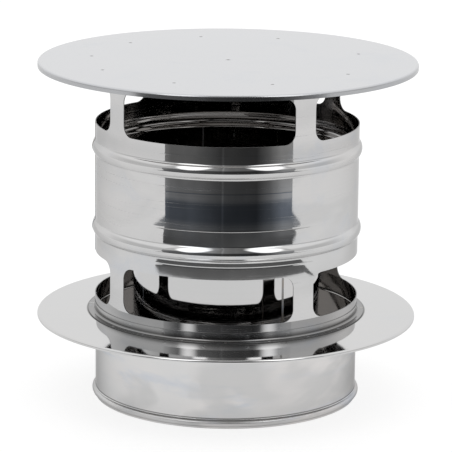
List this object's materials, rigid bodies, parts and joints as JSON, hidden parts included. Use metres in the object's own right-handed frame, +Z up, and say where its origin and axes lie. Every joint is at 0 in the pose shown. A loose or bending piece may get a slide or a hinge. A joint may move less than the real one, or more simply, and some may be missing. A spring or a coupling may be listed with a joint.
{
  "type": "chimney rain cap",
  "caption": "Round stainless rain cap for a double-wall flue: flat lid over a windowed drum, wide lower disc, beaded collar and inner tube.",
  "frame": {"origin": "centre of the collar's foot, the lowest plane of the cap, where it meets the flue", "axes": "+Z up along the flue's axis, from the collar to the lid; the windows face +X, -X, +Y and -Y"},
  "size_m": [0.263, 0.263, 0.236],
  "materials": {
    "sheet_steel": "bright rolled stainless sheet, mirror-like, with faint roll lines and smudges",
    "liner_steel": "bright rolled stainless sheet, a little duller than the outside",
    "weld_steel": "bare weld metal, matt, lightly heat-tinted"
  },
  "bodies": {
    "root": {"lid": "sheet_steel", "lid_spot_welds": "weld_steel", "lid_ring": "sheet_steel", "lid_ring_joint": "weld_steel", "lid_ring_wall_welds": "weld_steel", "drum_shell": "sheet_steel", "drum_seam_weld": "weld_steel", "deck_ring": "sheet_steel", "deck_ring_joint": "weld_steel", "deck_ring_wall_welds": "weld_steel", "deck": "sheet_steel", "deck_spot_welds": "weld_steel", "collar": "sheet_steel", "collar_seam_weld": "weld_steel", "inner_tube": "liner_steel", "tube_seam_weld": "weld_steel", "bracket_tube_welds": "weld_steel", "bracket_drum_welds": "weld_steel", "tube_bracket_1": "liner_steel", "tube_bracket_2": "liner_steel", "tube_bracket_3": "liner_steel", "tube_bracket_4": "liner_steel"}
  },
  "joints": []
}
